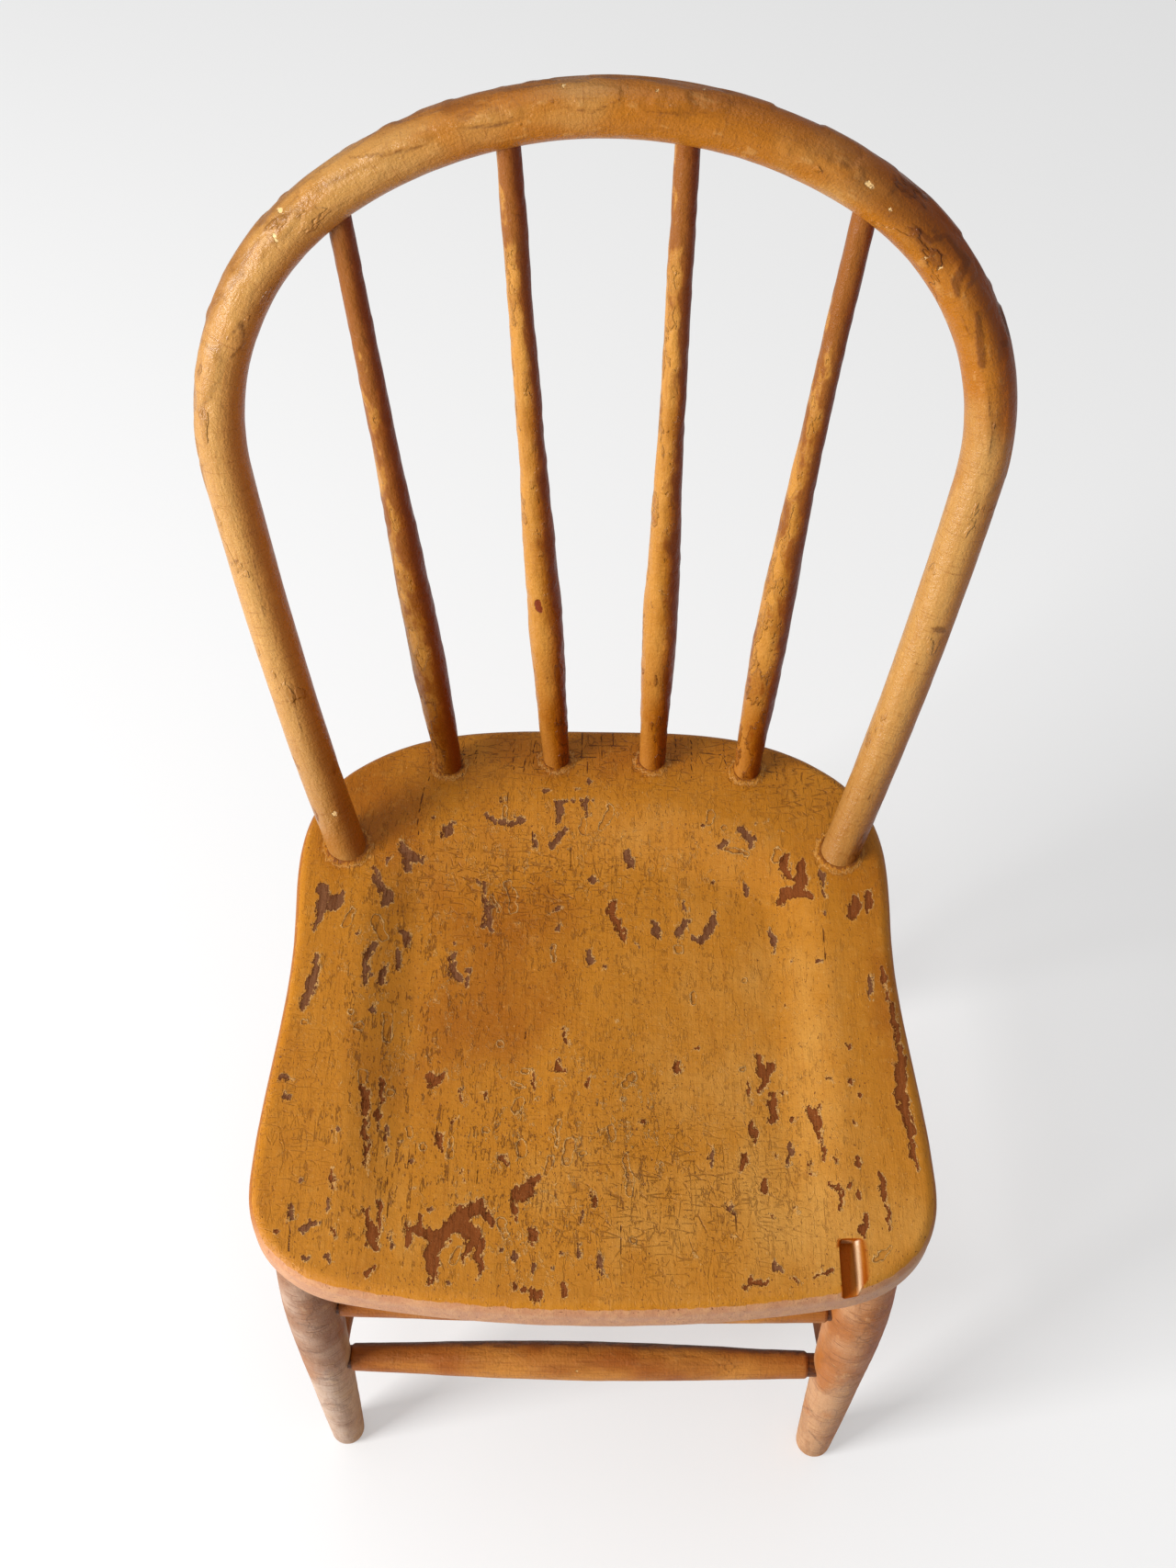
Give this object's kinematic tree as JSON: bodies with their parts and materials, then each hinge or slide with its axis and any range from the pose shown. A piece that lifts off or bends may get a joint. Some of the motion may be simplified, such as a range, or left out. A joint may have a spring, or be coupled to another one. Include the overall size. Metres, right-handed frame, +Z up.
{
  "type": "peeling paint chair",
  "caption": "Small wooden hoop-back chair with a bent round hoop, fanned spindles, a saddled seat and turned legs, under crackled and peeling ochre paint.",
  "frame": {"origin": "on the floor, under the middle of the chair's box", "axes": "+Z up, -Y towards the front of the seat, +X towards the right as seen from the front"},
  "size_m": [0.3468, 0.3574, 0.6486],
  "materials": {
    "seat_paint": "thick ochre paint, crackled and peeling to a red-brown undercoat",
    "hoop_paint": "thick lumpy ochre-tan paint with brown runs",
    "spindle_paint": "orange-brown paint, uneven and glossy",
    "leg_paint": "worn pinkish tan paint with fine rings from turning",
    "stretcher_paint": "brown paint, worn along the top"
  },
  "bodies": {
    "root": {"seat": "seat_paint", "hoop": "hoop_paint", "spindle_1": "spindle_paint", "spindle_2": "spindle_paint", "spindle_3": "spindle_paint", "spindle_4": "spindle_paint", "leg_front_left": "leg_paint", "leg_front_right": "leg_paint", "leg_rear_left": "leg_paint", "leg_rear_right": "leg_paint", "stretcher_front_lower": "stretcher_paint", "stretcher_front_upper": "stretcher_paint", "stretcher_left": "stretcher_paint", "stretcher_right": "stretcher_paint", "stretcher_rear": "stretcher_paint"}
  },
  "joints": []
}
